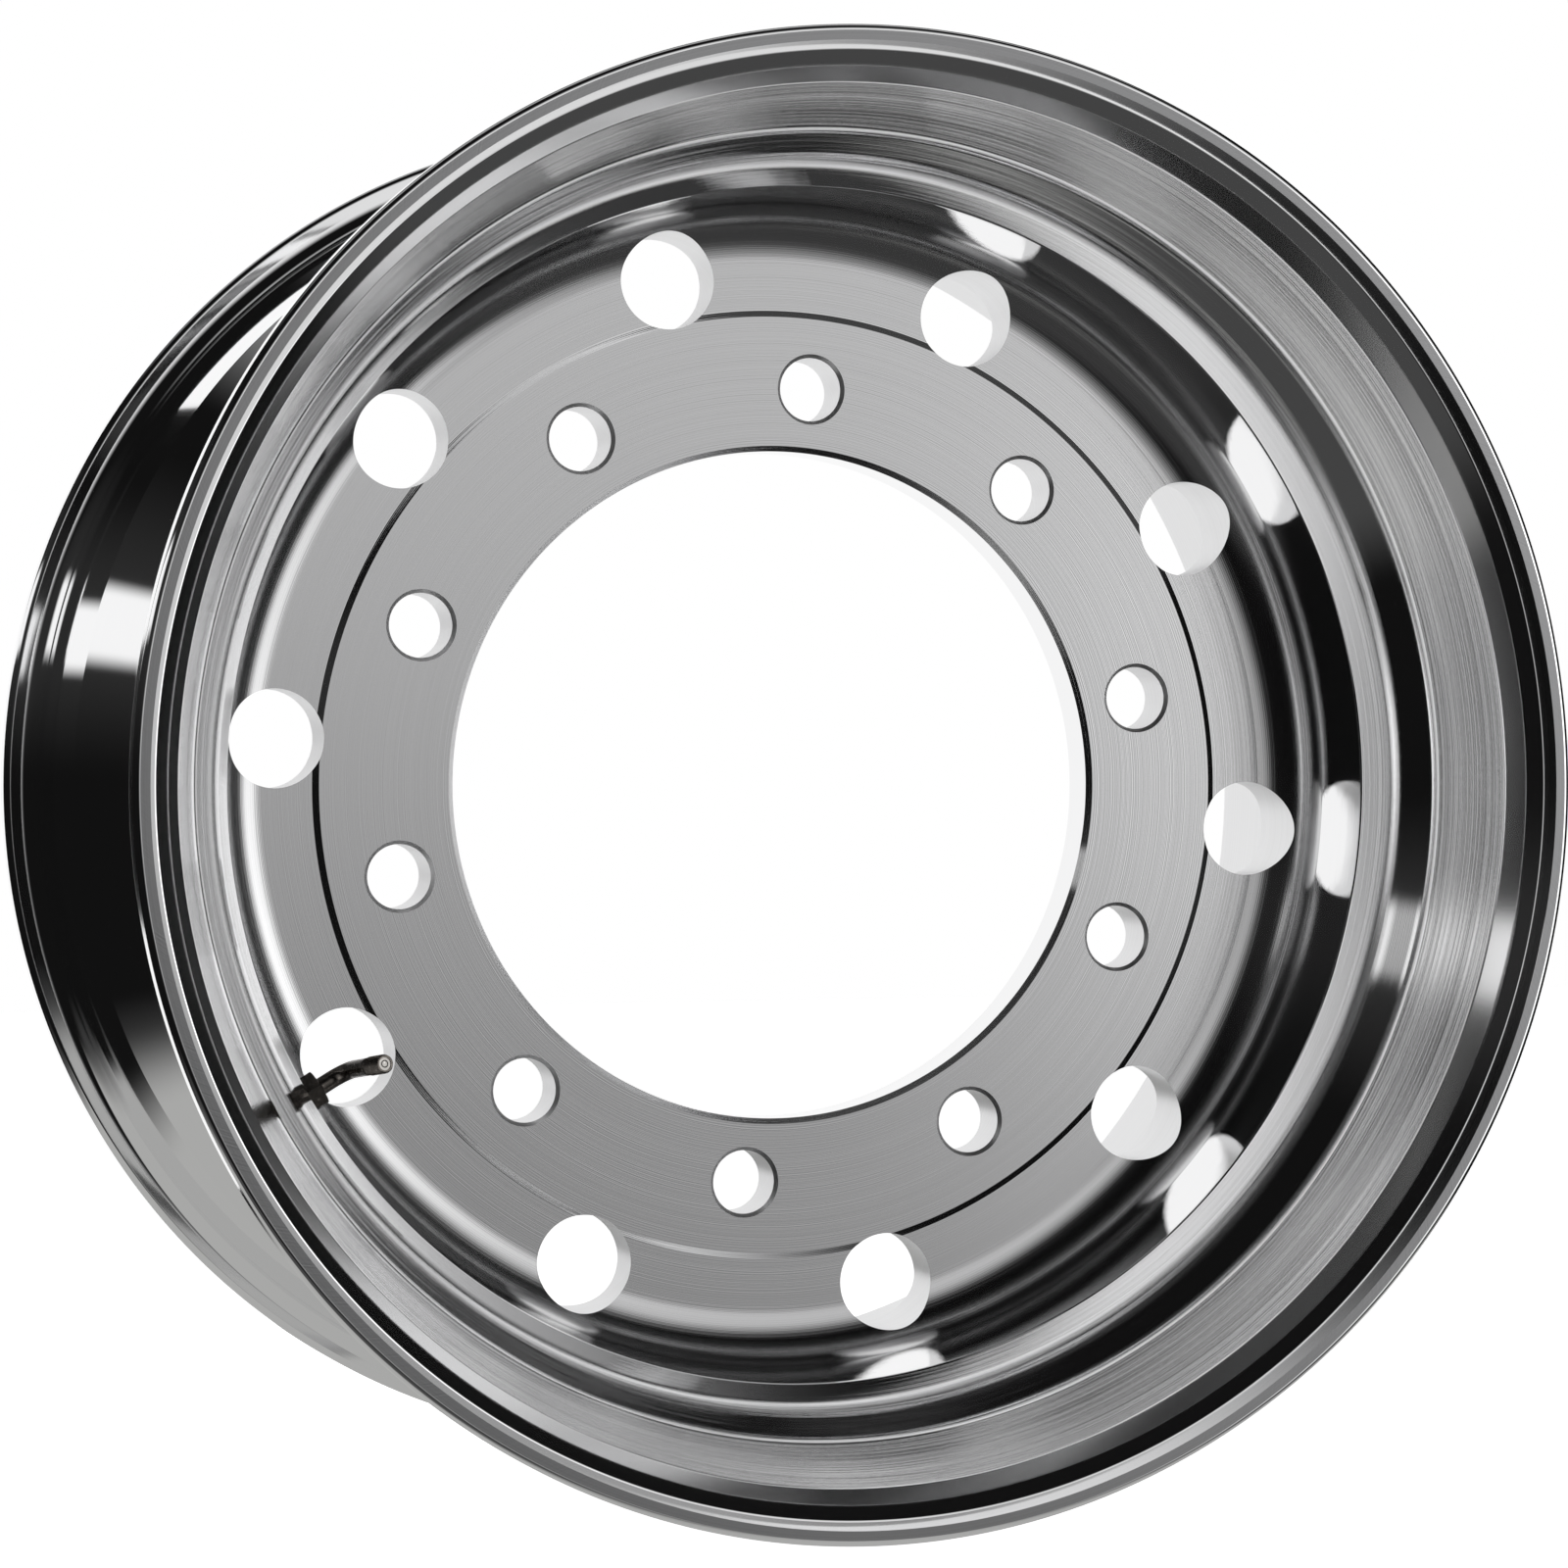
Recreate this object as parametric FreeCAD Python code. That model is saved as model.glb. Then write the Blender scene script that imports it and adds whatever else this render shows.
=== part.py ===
import FreeCAD, Part
import math
import os

# Forged one-piece truck wheel for tubeless tyres, with its bent tyre valve.
# Millimetres. The wheel turns about Y and its outboard face looks to -Y.
# The origin is on the axis, in the hub mounting face, which is also the rim's middle plane.

# Rim, drop centre with tapered bead seats
rim_diameter = 571.5
rim_width = 298.45
seat_angle = 15.0
flange_height = 12.7
flange_thickness = 11.8
flange_face_width = 7.4
flange_edge_round = 2.6
flange_back_round = 3.0
flange_root_round = 8.0
# Wall under the bead seat, where the bowl's band ends
rim_wall = 5.7

# Outboard side of the rim
outer_seat_length = 47.5
outer_slope_angle = 43.0
# Inboard side of the rim
inner_seat_length = 41.0
inner_slope_angle = 30.0
slope_wall = 7.1
seat_edge_round = 2.0

# Drop-centre well, and how far it drops below the bead seats
well_drop = 29.25
well_wall = 11.1
well_round = 14.0
bowl_draft = 5.0
# Hump between the bowl's wall and the slope; the shares say how much of each run its rounds take up
hump_rise = 7.8
crest_angle = 24.5
hump_edge_round = 6.0
hump_share = 0.35
root_share = 0.18

# Band, ridge, cove and lip of each flange on the bowl side
band_angle = 18.5
band_setback = 6.9
band_round = 6.0
ridge_rise = 5.65
ridge_depth = 8.7
ridge_round = 4.0
cove_rise = 5.5
cove_depth = 5.1
cove_round = 4.0
lip_step = 0.5
lip_land = 0.6
lip_round = 0.6

# Disc, with its raised pad set back from the bowl's wall
disc_thickness = 22.0
pad_setback = 48.4
pad_step = 2.0
pad_step_run = 1.2
pad_step_round = 1.0
disc_fillet = 22.0

# Hub bore, bolt holes, and hand holes set back from the bowl's wall
bore_diameter = 281.0
bore_outer_chamfer = 2.2
bore_inner_chamfer = 1.5
hole_count = 10
bolt_circle = 335.0
bolt_hole_diameter = 26.75
bolt_hole_chamfer = 1.5
hand_hole_setback = 29.4
hand_hole_diameter = 40.6

# Tyre valve: its place on the rim, and its bent stem
valve_angle = -149.06
valve_setback = 47.0
valve_hole_diameter = 9.7
valve_seat_diameter = 19.0
valve_seat_cut = 1.0
shank_diameter = 9.2
stem_diameter = 7.2
stem_bend_radius = 10.0
stem_bend_angle = 75.5
shank_proud = 0.9
shank_chamfer = 1.0
stem_lead = 4.3
spout_length = 28.2
head_diameter = 17.0
head_thickness = 3.0
head_round = 1.0
seal_thickness = 2.4
washer_diameter = 17.0
washer_thickness = 1.4
nut_width = 14.0
nut_height = 6.5
nut_chamfer = 0.9
nut_turn = 15.0
thread_clearance = 0.05

# Spout end: thread land, its relief, and the mouth
mouth_diameter = 7.75
mouth_length = 13.0
mouth_chamfer = 0.7
relief_diameter = 6.6
relief_length = 1.6

# Valve core, measured inwards from the mouth
core_bore_diameter = 5.24
core_bore_length = 6.4
core_taper_length = 3.6
chamber_diameter = 4.1
chamber_length = 6.0
air_bore_diameter = 3.0
core_recess = 0.4
plug_diameter = 5.14
plug_length = 4.6
plug_bore_diameter = 3.1
plug_floor = 1.0
barrel_diameter = 3.5
barrel_length = 6.0
barrel_bore_diameter = 2.7
barrel_floor = 1.4
gasket_setback = 2.2
gasket_length = 1.8
gasket_clearance = 0.04
pin_diameter = 1.3
pin_head_diameter = 2.2
pin_head_length = 0.7
pin_tail = 0.8
pin_running_clearance = 0.08
pin_collar_diameter = 2.2
pin_collar_length = 0.6
pin_collar_gap = 0.3
cup_diameter = 3.2
cup_length = 1.6
spring_wire = 0.28
spring_diameter = 2.3
spring_turns = 4


def unit(angle):
    """Direction in the section plane, as (radius, axial), at an angle from +Y towards more radius."""
    a = math.radians(angle)
    return (math.sin(a), math.cos(a))


def meet(p, u, q, v):
    """Point where the line through p along u crosses the line through q along v."""
    cross = u[0] * v[1] - u[1] * v[0]
    t = ((q[0] - p[0]) * v[1] - (q[1] - p[1]) * v[0]) / cross
    return (p[0] + t * u[0], p[1] + t * u[1])


def eased(share, run, turn):
    """Round at a corner that turns by an angle, whose tangents take up a share of a straight run."""
    return share * run / math.tan(math.radians(turn / 2))


def rounded_wire(corners):
    """Closed wire in the XY plane through (x, y, round) corners, with tangent arcs at the rounds."""
    count = len(corners)
    stops = []
    for i in range(count):
        x, y, radius = corners[i]
        before = corners[i - 1]
        after = corners[(i + 1) % count]
        here = FreeCAD.Vector(x, y, 0)
        back = FreeCAD.Vector(before[0], before[1], 0) - here
        ahead = FreeCAD.Vector(after[0], after[1], 0) - here
        if radius == 0:
            stops.append((here, None, here))
            continue
        back.normalize()
        ahead.normalize()
        bisector = back + ahead
        bisector.normalize()
        half = back.getAngle(ahead) / 2
        reach = radius / math.tan(half)
        middle = here + bisector * (radius / math.sin(half) - radius)
        stops.append((here + back * reach, middle, here + ahead * reach))
    edges = []
    for i in range(count):
        start, middle, end = stops[i]
        following = stops[(i + 1) % count][0]
        if middle is not None:
            edges.append(Part.Arc(start, middle, end).toShape())
        if end.distanceToPoint(following) > 1e-6:
            edges.append(Part.LineSegment(end, following).toShape())
    return Part.Wire(edges)


def turned(corners):
    """Solid of revolution about Y from a section in (radius, axial, round) corners."""
    return Part.Face(rounded_wire(corners)).revolve(ORIGIN, ALONG_Y, 360)


def bush(outer, inner, start, end, outer_round=0):
    """Ring about Y between two axial places, with its outer edges rounded."""
    return turned([
        (inner, start, 0),
        (outer, start, outer_round),
        (outer, end, outer_round),
        (inner, end, 0),
    ])


ORIGIN = FreeCAD.Vector(0, 0, 0)
ALONG_Y = FreeCAD.Vector(0, 1, 0)
ALONG_Z = FreeCAD.Vector(0, 0, 1)

rim_radius = rim_diameter / 2
flange_radius = rim_radius + flange_height
half_width = rim_width / 2
face_plane = half_width + flange_thickness
well_radius = rim_radius - well_drop
bowl_radius = well_radius - well_wall
pad_radius = bowl_radius - pad_setback
hand_circle = 2 * (bowl_radius - hand_hole_setback)
disc_plane = disc_thickness - pad_step
hole_step = 360.0 / hole_count


def rim_side(seat_length, slope_angle, disc_face):
    """Bowl-side and tyre-side corners of one half of the rim, for a half that opens towards +Y.

    The bowl-side corners run from the disc to the flange, and the tyre-side ones from there to the well.
    """
    seat = unit(seat_angle)
    slope = unit(slope_angle)
    seat_end = (rim_radius - seat_length * seat[0] / seat[1], half_width - seat_length)
    under_slope = (seat_end[0] - slope_wall / slope[1], seat_end[1])
    well_corner = meet(seat_end, slope, (well_radius, 0), (0, 1))
    band_edge = (rim_radius - (band_setback * seat[0] + rim_wall) / seat[1], half_width - band_setback)
    band_root = meet(band_edge, unit(band_angle), under_slope, slope)
    hump_top = meet(under_slope, slope, (bowl_radius + hump_rise, 0), (0, 1))
    hump_edge = meet(hump_top, unit(crest_angle), (bowl_radius, 0), (0, 1))
    disc_corner = meet(hump_edge, unit(bowl_draft), (0, disc_face), (1, 0))
    crest_run = math.dist(hump_edge, hump_top)
    slope_run = math.dist(hump_top, band_root)
    hump_round = eased(hump_share, min(crest_run, slope_run), slope_angle - crest_angle)
    root_round = eased(root_share, slope_run, slope_angle - band_angle)
    ridge = (band_edge[0] + ridge_rise, band_edge[1] + ridge_depth)
    cove = (ridge[0] + cove_rise, ridge[1] + cove_depth)
    face_edge = flange_radius - flange_face_width
    bowl = [
        disc_corner + (disc_fillet,),
        hump_edge + (hump_edge_round,),
        hump_top + (hump_round,),
        band_root + (root_round,),
        band_edge + (band_round,),
        ridge + (ridge_round,),
        cove + (cove_round,),
        (face_edge - lip_land, face_plane - lip_step, lip_round),
        (face_edge, face_plane - lip_step, 0),
        (face_edge, face_plane, 0),
    ]
    tyre = [
        (flange_radius, face_plane, flange_edge_round),
        (flange_radius, half_width, flange_back_round),
        (rim_radius, half_width, flange_root_round),
        seat_end + (seat_edge_round,),
        well_corner + (well_round,),
    ]
    return bowl, tyre


def outboard(corners):
    """Corners of a half that opens towards +Y, turned to the outboard side, in the opposite order."""
    return [(r, -y, radius) for r, y, radius in reversed(corners)]


outer_bowl, outer_tyre = rim_side(outer_seat_length, outer_slope_angle, disc_plane)
inner_bowl, inner_tyre = rim_side(inner_seat_length, inner_slope_angle, -pad_step)

# Seats of the valve on the rim and the ends of its pieces, as distances from the wheel's axis
hump_radius, hump_depth, _ = outer_bowl[1]
bowl_at_valve = hump_radius - (hump_depth - valve_setback) * math.tan(math.radians(bowl_draft))
seat_inside = bowl_at_valve + valve_seat_cut
seat_outside = well_radius - valve_seat_cut
nut_base = seat_inside - washer_thickness
nut_top = nut_base - nut_height
shank_end = nut_top - shank_proud
bend_start = shank_end - stem_lead
head_base = seat_outside + seal_thickness
head_top = head_base + head_thickness

# Ends of the core's pieces, as depths below the mouth
plug_end = core_recess + plug_length
barrel_end = plug_end + barrel_length
cup_end = barrel_end + cup_length
taper_end = core_bore_length + core_taper_length
chamber_end = taper_end + chamber_length
collar_start = plug_end + pin_collar_gap
collar_end = collar_start + pin_collar_length
gasket_start = plug_end + gasket_setback
pin_hole = pin_diameter / 2 + pin_running_clearance


def on_circle(circle, angle, y):
    """Point on a pitch circle, with the angle taken from +X towards +Z."""
    a = math.radians(angle)
    return FreeCAD.Vector(circle / 2 * math.cos(a), y, circle / 2 * math.sin(a))


def on_shank(shape):
    """Set a shape drawn along Y on the valve's radial axis, with +Y towards the wheel's axis.

    The shape's own -X then looks outboard.
    """
    placed = shape.copy()
    placed.rotate(ORIGIN, ALONG_Z, 90)
    placed.translate(FreeCAD.Vector(0, -valve_setback, 0))
    placed.rotate(ORIGIN, ALONG_Y, -valve_angle)
    return placed


def on_spout(shape):
    """Set a shape drawn along Y on the spout past the bend, with its y = 0 at the mouth."""
    a = math.radians(stem_bend_angle)
    placed = shape.copy()
    placed.translate(FreeCAD.Vector(0, spout_length, 0))
    placed.rotate(ORIGIN, ALONG_Z, stem_bend_angle)
    placed.translate(FreeCAD.Vector(
        stem_bend_radius * (math.cos(a) - 1),
        stem_bend_radius * math.sin(a) - bend_start,
        0,
    ))
    return on_shank(placed)


def make_wheel():
    bore = bore_diameter / 2
    section = [
        (bore, -disc_thickness + bore_outer_chamfer, 0),
        (bore, -bore_inner_chamfer, 0),
        (bore + bore_inner_chamfer, 0, 0),
        (pad_radius, 0, 0),
        (pad_radius + pad_step_run, -pad_step, pad_step_round),
    ]
    section += inner_bowl + inner_tyre
    section += outboard(outer_tyre) + outboard(outer_bowl)
    section += [
        (pad_radius + pad_step_run, -disc_plane, pad_step_round),
        (pad_radius, -disc_thickness, 0),
        (bore + bore_outer_chamfer, -disc_thickness, 0),
    ]
    cutters = []
    bolt_hole = bolt_hole_diameter / 2
    bolt_mouth = bolt_hole + bolt_hole_chamfer
    for i in range(hole_count):
        hand_angle = valve_angle + i * hole_step
        bolt_angle = hand_angle + hole_step / 2
        front = on_circle(bolt_circle, bolt_angle, -disc_thickness)
        hand = on_circle(hand_circle, hand_angle, -half_width / 2)
        cutters.append(Part.makeCylinder(bolt_hole, disc_thickness, front, ALONG_Y))
        cutters.append(Part.makeCone(bolt_mouth, bolt_hole, bolt_hole_chamfer, front, ALONG_Y))
        cutters.append(Part.makeCylinder(hand_hole_diameter / 2, half_width, hand, ALONG_Y))
    spot = valve_seat_diameter / 2
    cutters.append(on_shank(bush(spot, 0, -seat_inside, -nut_top)))
    cutters.append(on_shank(bush(spot, 0, -head_top, -seat_outside)))
    cutters.append(on_shank(bush(valve_hole_diameter / 2, 0, -head_top, -nut_top)))
    return turned(section).cut(cutters)


def make_stem():
    stem = stem_diameter / 2
    shank = shank_diameter / 2
    air = air_bore_diameter / 2
    head = head_diameter / 2
    mouth = mouth_diameter / 2
    relief = relief_diameter / 2
    core_bore = core_bore_diameter / 2
    chamber = chamber_diameter / 2
    shank_solid = turned([
        (air, -head_top, 0),
        (head, -head_top, head_round),
        (head, -head_base, 0),
        (shank, -head_base, 0),
        (shank, -shank_end - shank_chamfer, 0),
        (stem, -shank_end, 0),
        (stem, -bend_start, 0),
        (air, -bend_start, 0),
    ])
    centre = FreeCAD.Vector(-stem_bend_radius, -bend_start, 0)
    start = FreeCAD.Vector(0, -bend_start, 0)
    tubes = []
    for radius in (stem, air):
        disc = Part.Face(Part.Wire(Part.makeCircle(radius, start, ALONG_Y)))
        tubes.append(disc.revolve(centre, ALONG_Z, stem_bend_angle))
    bend_solid = tubes[0].cut(tubes[1])
    relief_start = mouth_length + relief_length
    spout_solid = turned([
        (air, -spout_length, 0),
        (stem, -spout_length, 0),
        (stem, -relief_start - (stem - relief), 0),
        (relief, -relief_start, 0),
        (relief, -mouth_length, 0),
        (mouth, -mouth_length + (mouth - relief), 0),
        (mouth, -mouth_chamfer, 0),
        (mouth - mouth_chamfer, 0, 0),
        (core_bore, 0, 0),
        (core_bore, -core_bore_length, 0),
        (chamber, -taper_end, 0),
        (chamber, -chamber_end, 0),
        (air, -chamber_end - (chamber - air), 0),
    ])
    stem_solid = on_shank(shank_solid).fuse([on_shank(bend_solid), on_spout(spout_solid)])
    return stem_solid.removeSplitter()


def make_seal():
    bore = shank_diameter / 2 + thread_clearance
    return on_shank(bush(head_diameter / 2, bore, -head_base, -seat_outside, seal_thickness / 3))


def make_washer():
    bore = shank_diameter / 2 + thread_clearance
    return on_shank(bush(washer_diameter / 2, bore, -seat_inside, -nut_base, washer_thickness / 4))


def make_nut():
    corner = nut_width / 2 / math.cos(math.pi / 6)
    points = []
    for i in range(7):
        a = math.radians(180 + nut_turn + 60 * i)
        points.append(FreeCAD.Vector(corner * math.cos(a), -nut_base, corner * math.sin(a)))
    prism = Part.Face(Part.makePolygon(points)).extrude(FreeCAD.Vector(0, nut_height, 0))
    crown = nut_width / 2 + nut_chamfer / 2
    turned_blank = turned([
        (shank_diameter / 2 + thread_clearance, -nut_base, 0),
        (crown, -nut_base, 0),
        (crown + 2 * nut_chamfer, -nut_base + nut_chamfer, 0),
        (crown + 2 * nut_chamfer, -nut_top - nut_chamfer, 0),
        (crown, -nut_top, 0),
        (shank_diameter / 2 + thread_clearance, -nut_top, 0),
    ])
    return on_shank(prism.common(turned_blank))


def make_plug():
    outer = plug_diameter / 2
    inner = plug_bore_diameter / 2
    floor = plug_end - plug_floor
    return on_spout(turned([
        (outer, -core_recess, 0),
        (inner, -core_recess, 0),
        (inner, -floor, 0),
        (pin_hole, -floor, 0),
        (pin_hole, -plug_end, 0),
        (outer, -plug_end, 0),
    ]))


def make_barrel():
    outer = barrel_diameter / 2
    inner = barrel_bore_diameter / 2
    floor = barrel_end - barrel_floor
    return on_spout(turned([
        (outer, -plug_end, 0),
        (inner, -plug_end, 0),
        (inner, -floor, 0),
        (pin_hole, -floor, 0),
        (pin_hole, -barrel_end, 0),
        (outer, -barrel_end, 0),
    ]))


def make_gasket():
    """Ring on the core's barrel that wedges in the taper below the threaded bore."""
    fall = (core_bore_diameter - chamber_diameter) / 2 / core_taper_length
    top = core_bore_diameter / 2 - (gasket_start - core_bore_length) * fall - gasket_clearance
    bottom = top - gasket_length * fall
    inner = barrel_diameter / 2 + gasket_clearance
    return on_spout(turned([
        (inner, -gasket_start, 0),
        (top, -gasket_start, 0),
        (bottom, -gasket_start - gasket_length, 0),
        (inner, -gasket_start - gasket_length, 0),
    ]))


def make_pin():
    shaft = pin_diameter / 2
    head = pin_head_diameter / 2
    collar = pin_collar_diameter / 2
    return on_spout(turned([
        (0, -core_recess, 0),
        (head, -core_recess, 0),
        (head, -core_recess - pin_head_length, 0),
        (shaft, -core_recess - pin_head_length, 0),
        (shaft, -collar_start, 0),
        (collar, -collar_start, 0),
        (collar, -collar_end, 0),
        (shaft, -collar_end, 0),
        (shaft, -cup_end - pin_tail, 0),
        (0, -cup_end - pin_tail, 0),
    ]))


def make_cup():
    return on_spout(bush(cup_diameter / 2, pin_diameter / 2, -cup_end, -barrel_end))


def make_spring():
    """Coil between the pin's collar and the barrel's floor, drawn with a square wire."""
    mean = (spring_diameter - spring_wire) / 2
    room = barrel_end - barrel_floor - collar_end
    rise = room - spring_wire
    half = spring_wire / 2
    coil = Part.makeHelix(rise / spring_turns, rise, mean)
    square = Part.makePolygon([
        FreeCAD.Vector(mean - half, 0, -half),
        FreeCAD.Vector(mean + half, 0, -half),
        FreeCAD.Vector(mean + half, 0, half),
        FreeCAD.Vector(mean - half, 0, half),
        FreeCAD.Vector(mean - half, 0, -half),
    ])
    spring = Part.Wire(coil).makePipeShell([square], True, True)
    spring.rotate(ORIGIN, FreeCAD.Vector(1, 0, 0), 90)
    spring.translate(FreeCAD.Vector(0, -collar_end - half, 0))
    return on_spout(spring)


nodes = {
    "wheel": make_wheel,
    "valve_stem": make_stem,
    "valve_seal": make_seal,
    "valve_washer": make_washer,
    "valve_nut": make_nut,
    "core_plug": make_plug,
    "core_barrel": make_barrel,
    "core_gasket": make_gasket,
    "core_spring": make_spring,
    "core_pin": make_pin,
    "core_cup": make_cup,
}

os.makedirs("parts", exist_ok=True)
for name, make in nodes.items():
    shape = make()
    shape.exportStep("parts/" + name + ".step")
    print(name, "valid", shape.isValid(), "solids", len(shape.Solids), "volume", round(shape.Volume, 2))
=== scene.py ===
import math

import bmesh
import bpy
import numpy as np
from mathutils import Matrix, Vector


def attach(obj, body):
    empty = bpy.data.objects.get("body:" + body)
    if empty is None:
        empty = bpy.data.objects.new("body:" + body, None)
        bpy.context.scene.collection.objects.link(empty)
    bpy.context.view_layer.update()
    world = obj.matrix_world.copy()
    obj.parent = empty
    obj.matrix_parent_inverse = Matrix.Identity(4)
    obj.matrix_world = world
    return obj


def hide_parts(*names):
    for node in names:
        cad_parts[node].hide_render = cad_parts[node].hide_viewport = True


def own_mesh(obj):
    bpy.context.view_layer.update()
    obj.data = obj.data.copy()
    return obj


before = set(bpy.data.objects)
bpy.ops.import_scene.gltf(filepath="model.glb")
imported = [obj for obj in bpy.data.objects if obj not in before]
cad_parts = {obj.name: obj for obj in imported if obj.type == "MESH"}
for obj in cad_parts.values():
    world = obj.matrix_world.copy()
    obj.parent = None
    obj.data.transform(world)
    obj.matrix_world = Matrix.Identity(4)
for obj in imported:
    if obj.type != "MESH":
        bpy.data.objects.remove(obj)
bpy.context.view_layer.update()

# Polished forged truck wheel with its bent tyre valve, standing on a pale studio floor.
# Sizes are in millimetres, as in the solid model, and meshes are made in metres.
MM = 0.001

# Rim, drop centre with tapered bead seats
RIM_RADIUS = 285.75
HALF_WIDTH = 149.225
SEAT_ANGLE = 15.0
FLANGE_HEIGHT = 12.7
FLANGE_THICKNESS = 11.8
FLANGE_FACE_WIDTH = 6.45
FLANGE_EDGE_ROUND = 2.6
FLANGE_BACK_ROUND = 3.0
FLANGE_ROOT_ROUND = 8.0
RIM_WALL = 5.7
OUTER_SEAT_LENGTH = 47.5
OUTER_SLOPE_ANGLE = 43.0
INNER_SEAT_LENGTH = 41.0
INNER_SLOPE_ANGLE = 30.0
SLOPE_WALL = 7.1
SEAT_EDGE_ROUND = 2.0

# Drop-centre well and the bowl inside it
WELL_DROP = 29.25
WELL_WALL = 11.1
WELL_ROUND = 14.0
BOWL_DRAFT = 5.0
HUMP_RISE = 7.8
CREST_ANGLE = 24.5
HUMP_EDGE_ROUND = 6.0
HUMP_SHARE = 0.35
ROOT_SHARE = 0.18

# Band, ridge and lip of each flange on the bowl side
BAND_ANGLE = 18.5
BAND_SETBACK = 6.9
BAND_ROUND = 6.0
RIDGE_RISE = 5.65
RIDGE_DEPTH = 8.7
RIDGE_ROUND = 4.0
LIP_STEP = 5.8
LIP_LAND = 3.0
LIP_ROUND = 1.6

# Disc with its raised pad, bore and holes
DISC_THICKNESS = 22.0
PAD_SETBACK = 48.4
PAD_STEP = 1.0
PAD_STEP_RUN = 2.7
PAD_STEP_ROUND = 1.0
DISC_FILLET = 22.0
BORE_RADIUS = 140.5
BORE_OUTER_CHAMFER = 2.2
BORE_INNER_CHAMFER = 1.5
HOLE_COUNT = 10
BOLT_CIRCLE = 167.5
BOLT_HOLE = 13.375
BOLT_CHAMFER = 1.5
HAND_HOLE_SETBACK = 29.4
HAND_HOLE = 20.3

# Hole and seats of the tyre valve
VALVE_ANGLE = -149.06
VALVE_SETBACK = 47.0
VALVE_HOLE = 4.85
VALVE_SEAT = 9.5
VALVE_SEAT_CUT = 1.0

# How finely the wheel is turned, with drills that are so many discs long
TURN_STEPS = 360
ARC_STEP = 9.0
SMALL_ROUND = 4.5
SMALL_ARC_STEP = 18.0
LARGE_ROUND = 40.0
LARGE_ARC_STEP = 3.5
HOLE_STEPS = 72
DRILL_LENGTH = 6.0
CUTTER_PROUD = 10.0

# How near to a run of the section a face has to lie, and how far it has to face the same way
SURFACE_GAP = 0.2
SURFACE_FACING = 0.85
ARC_END_SLACK = 1e-3
OUTER_BOWL_SLACK = 1.5
INNER_BOWL_SLACK = 2.0
TINY = 1e-6

FLANGE_RADIUS = RIM_RADIUS + FLANGE_HEIGHT
FACE_EDGE = FLANGE_RADIUS - FLANGE_FACE_WIDTH
FACE_PLANE = HALF_WIDTH + FLANGE_THICKNESS
WELL_RADIUS = RIM_RADIUS - WELL_DROP
BOWL_RADIUS = WELL_RADIUS - WELL_WALL
PAD_RADIUS = BOWL_RADIUS - PAD_SETBACK
HAND_CIRCLE = BOWL_RADIUS - HAND_HOLE_SETBACK
DISC_PLANE = DISC_THICKNESS - PAD_STEP
HOLE_STEP = 360.0 / HOLE_COUNT
BOLT_ANGLE = VALVE_ANGLE + HOLE_STEP / 2


class Link:
    """An output socket; arithmetic on it adds Math nodes to its tree."""

    def __init__(self, graph, socket):
        self.graph = graph
        self.socket = socket

    def math(self, operation, *others):
        inputs = dict(enumerate((self,) + others))
        return self.graph.add("ShaderNodeMath", inputs, operation=operation)

    def turned(self, operation, first):
        return self.graph.add("ShaderNodeMath", {0: first, 1: self}, operation=operation)

    def __add__(self, other):
        return self.math("ADD", other)

    def __radd__(self, other):
        return self.math("ADD", other)

    def __sub__(self, other):
        return self.math("SUBTRACT", other)

    def __rsub__(self, other):
        return self.turned("SUBTRACT", other)

    def __mul__(self, other):
        return self.math("MULTIPLY", other)

    def __rmul__(self, other):
        return self.math("MULTIPLY", other)

    def __truediv__(self, other):
        return self.math("DIVIDE", other)

    def __neg__(self):
        return self.math("MULTIPLY", -1.0)


class Graph:
    """A node tree that is written as expressions."""

    def __init__(self, tree):
        self.tree = tree

    def add(self, kind, inputs=None, output=0, **settings):
        """Adds a node, its settings first and then its sockets, and gives one of its outputs."""
        node = self.tree.nodes.new(kind)
        for name, value in settings.items():
            setattr(node, name, value)
        for key, value in (inputs or {}).items():
            self.feed(node.inputs[key], value)
        return Link(self, node.outputs[output])

    def feed(self, socket, value):
        """Sets a socket to a value, a link or a list of links."""
        if isinstance(value, list):
            for one in value:
                self.tree.links.new(one.socket, socket)
        elif isinstance(value, Link):
            self.tree.links.new(value.socket, socket)
        else:
            socket.default_value = value

    def end(self, kind, socket, value):
        """Adds the tree's last node, which has no outputs."""
        self.feed(self.tree.nodes.new(kind).inputs[socket], value)

    def split(self, vector):
        node = self.add("ShaderNodeSeparateXYZ", {0: vector}).socket.node
        return [Link(self, socket) for socket in node.outputs]

    def join(self, x, y, z):
        return self.add("ShaderNodeCombineXYZ", {"X": x, "Y": y, "Z": z})

    def fade(self, value, start, end):
        """0 before start and 1 past end, with a smooth change between them."""
        return self.add("ShaderNodeMapRange", {"Value": value, "From Min": start, "From Max": end},
                        interpolation_type="SMOOTHSTEP")

    def streaks(self, along):
        """Noise along one value, with about one streak for each unit of it."""
        return self.add("ShaderNodeTexNoise", {"W": along, "Scale": 1.0, "Detail": 1.0}, "Fac",
                        noise_dimensions="1D")

    def specks(self, place, scale, detail):
        """Noise in space."""
        return self.add("ShaderNodeTexNoise", {"Vector": place, "Scale": scale, "Detail": detail}, "Fac")

    def mix(self, factor, first, second):
        """Colour between two colours, which are sockets 6 and 7 of the node, its result being output 2."""
        return self.add("ShaderNodeMix", {0: factor, 6: first, 7: second}, 2, data_type="RGBA")


def place_object(name, data):
    """New object in the scene, at the origin."""
    made = bpy.data.objects.new(name, data)
    bpy.context.scene.collection.objects.link(made)
    return made


# Section of the wheel
def unit(angle):
    """Direction in the section plane, as (radius, axial), at an angle from the axis."""
    a = math.radians(angle)
    return (math.sin(a), math.cos(a))


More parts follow.
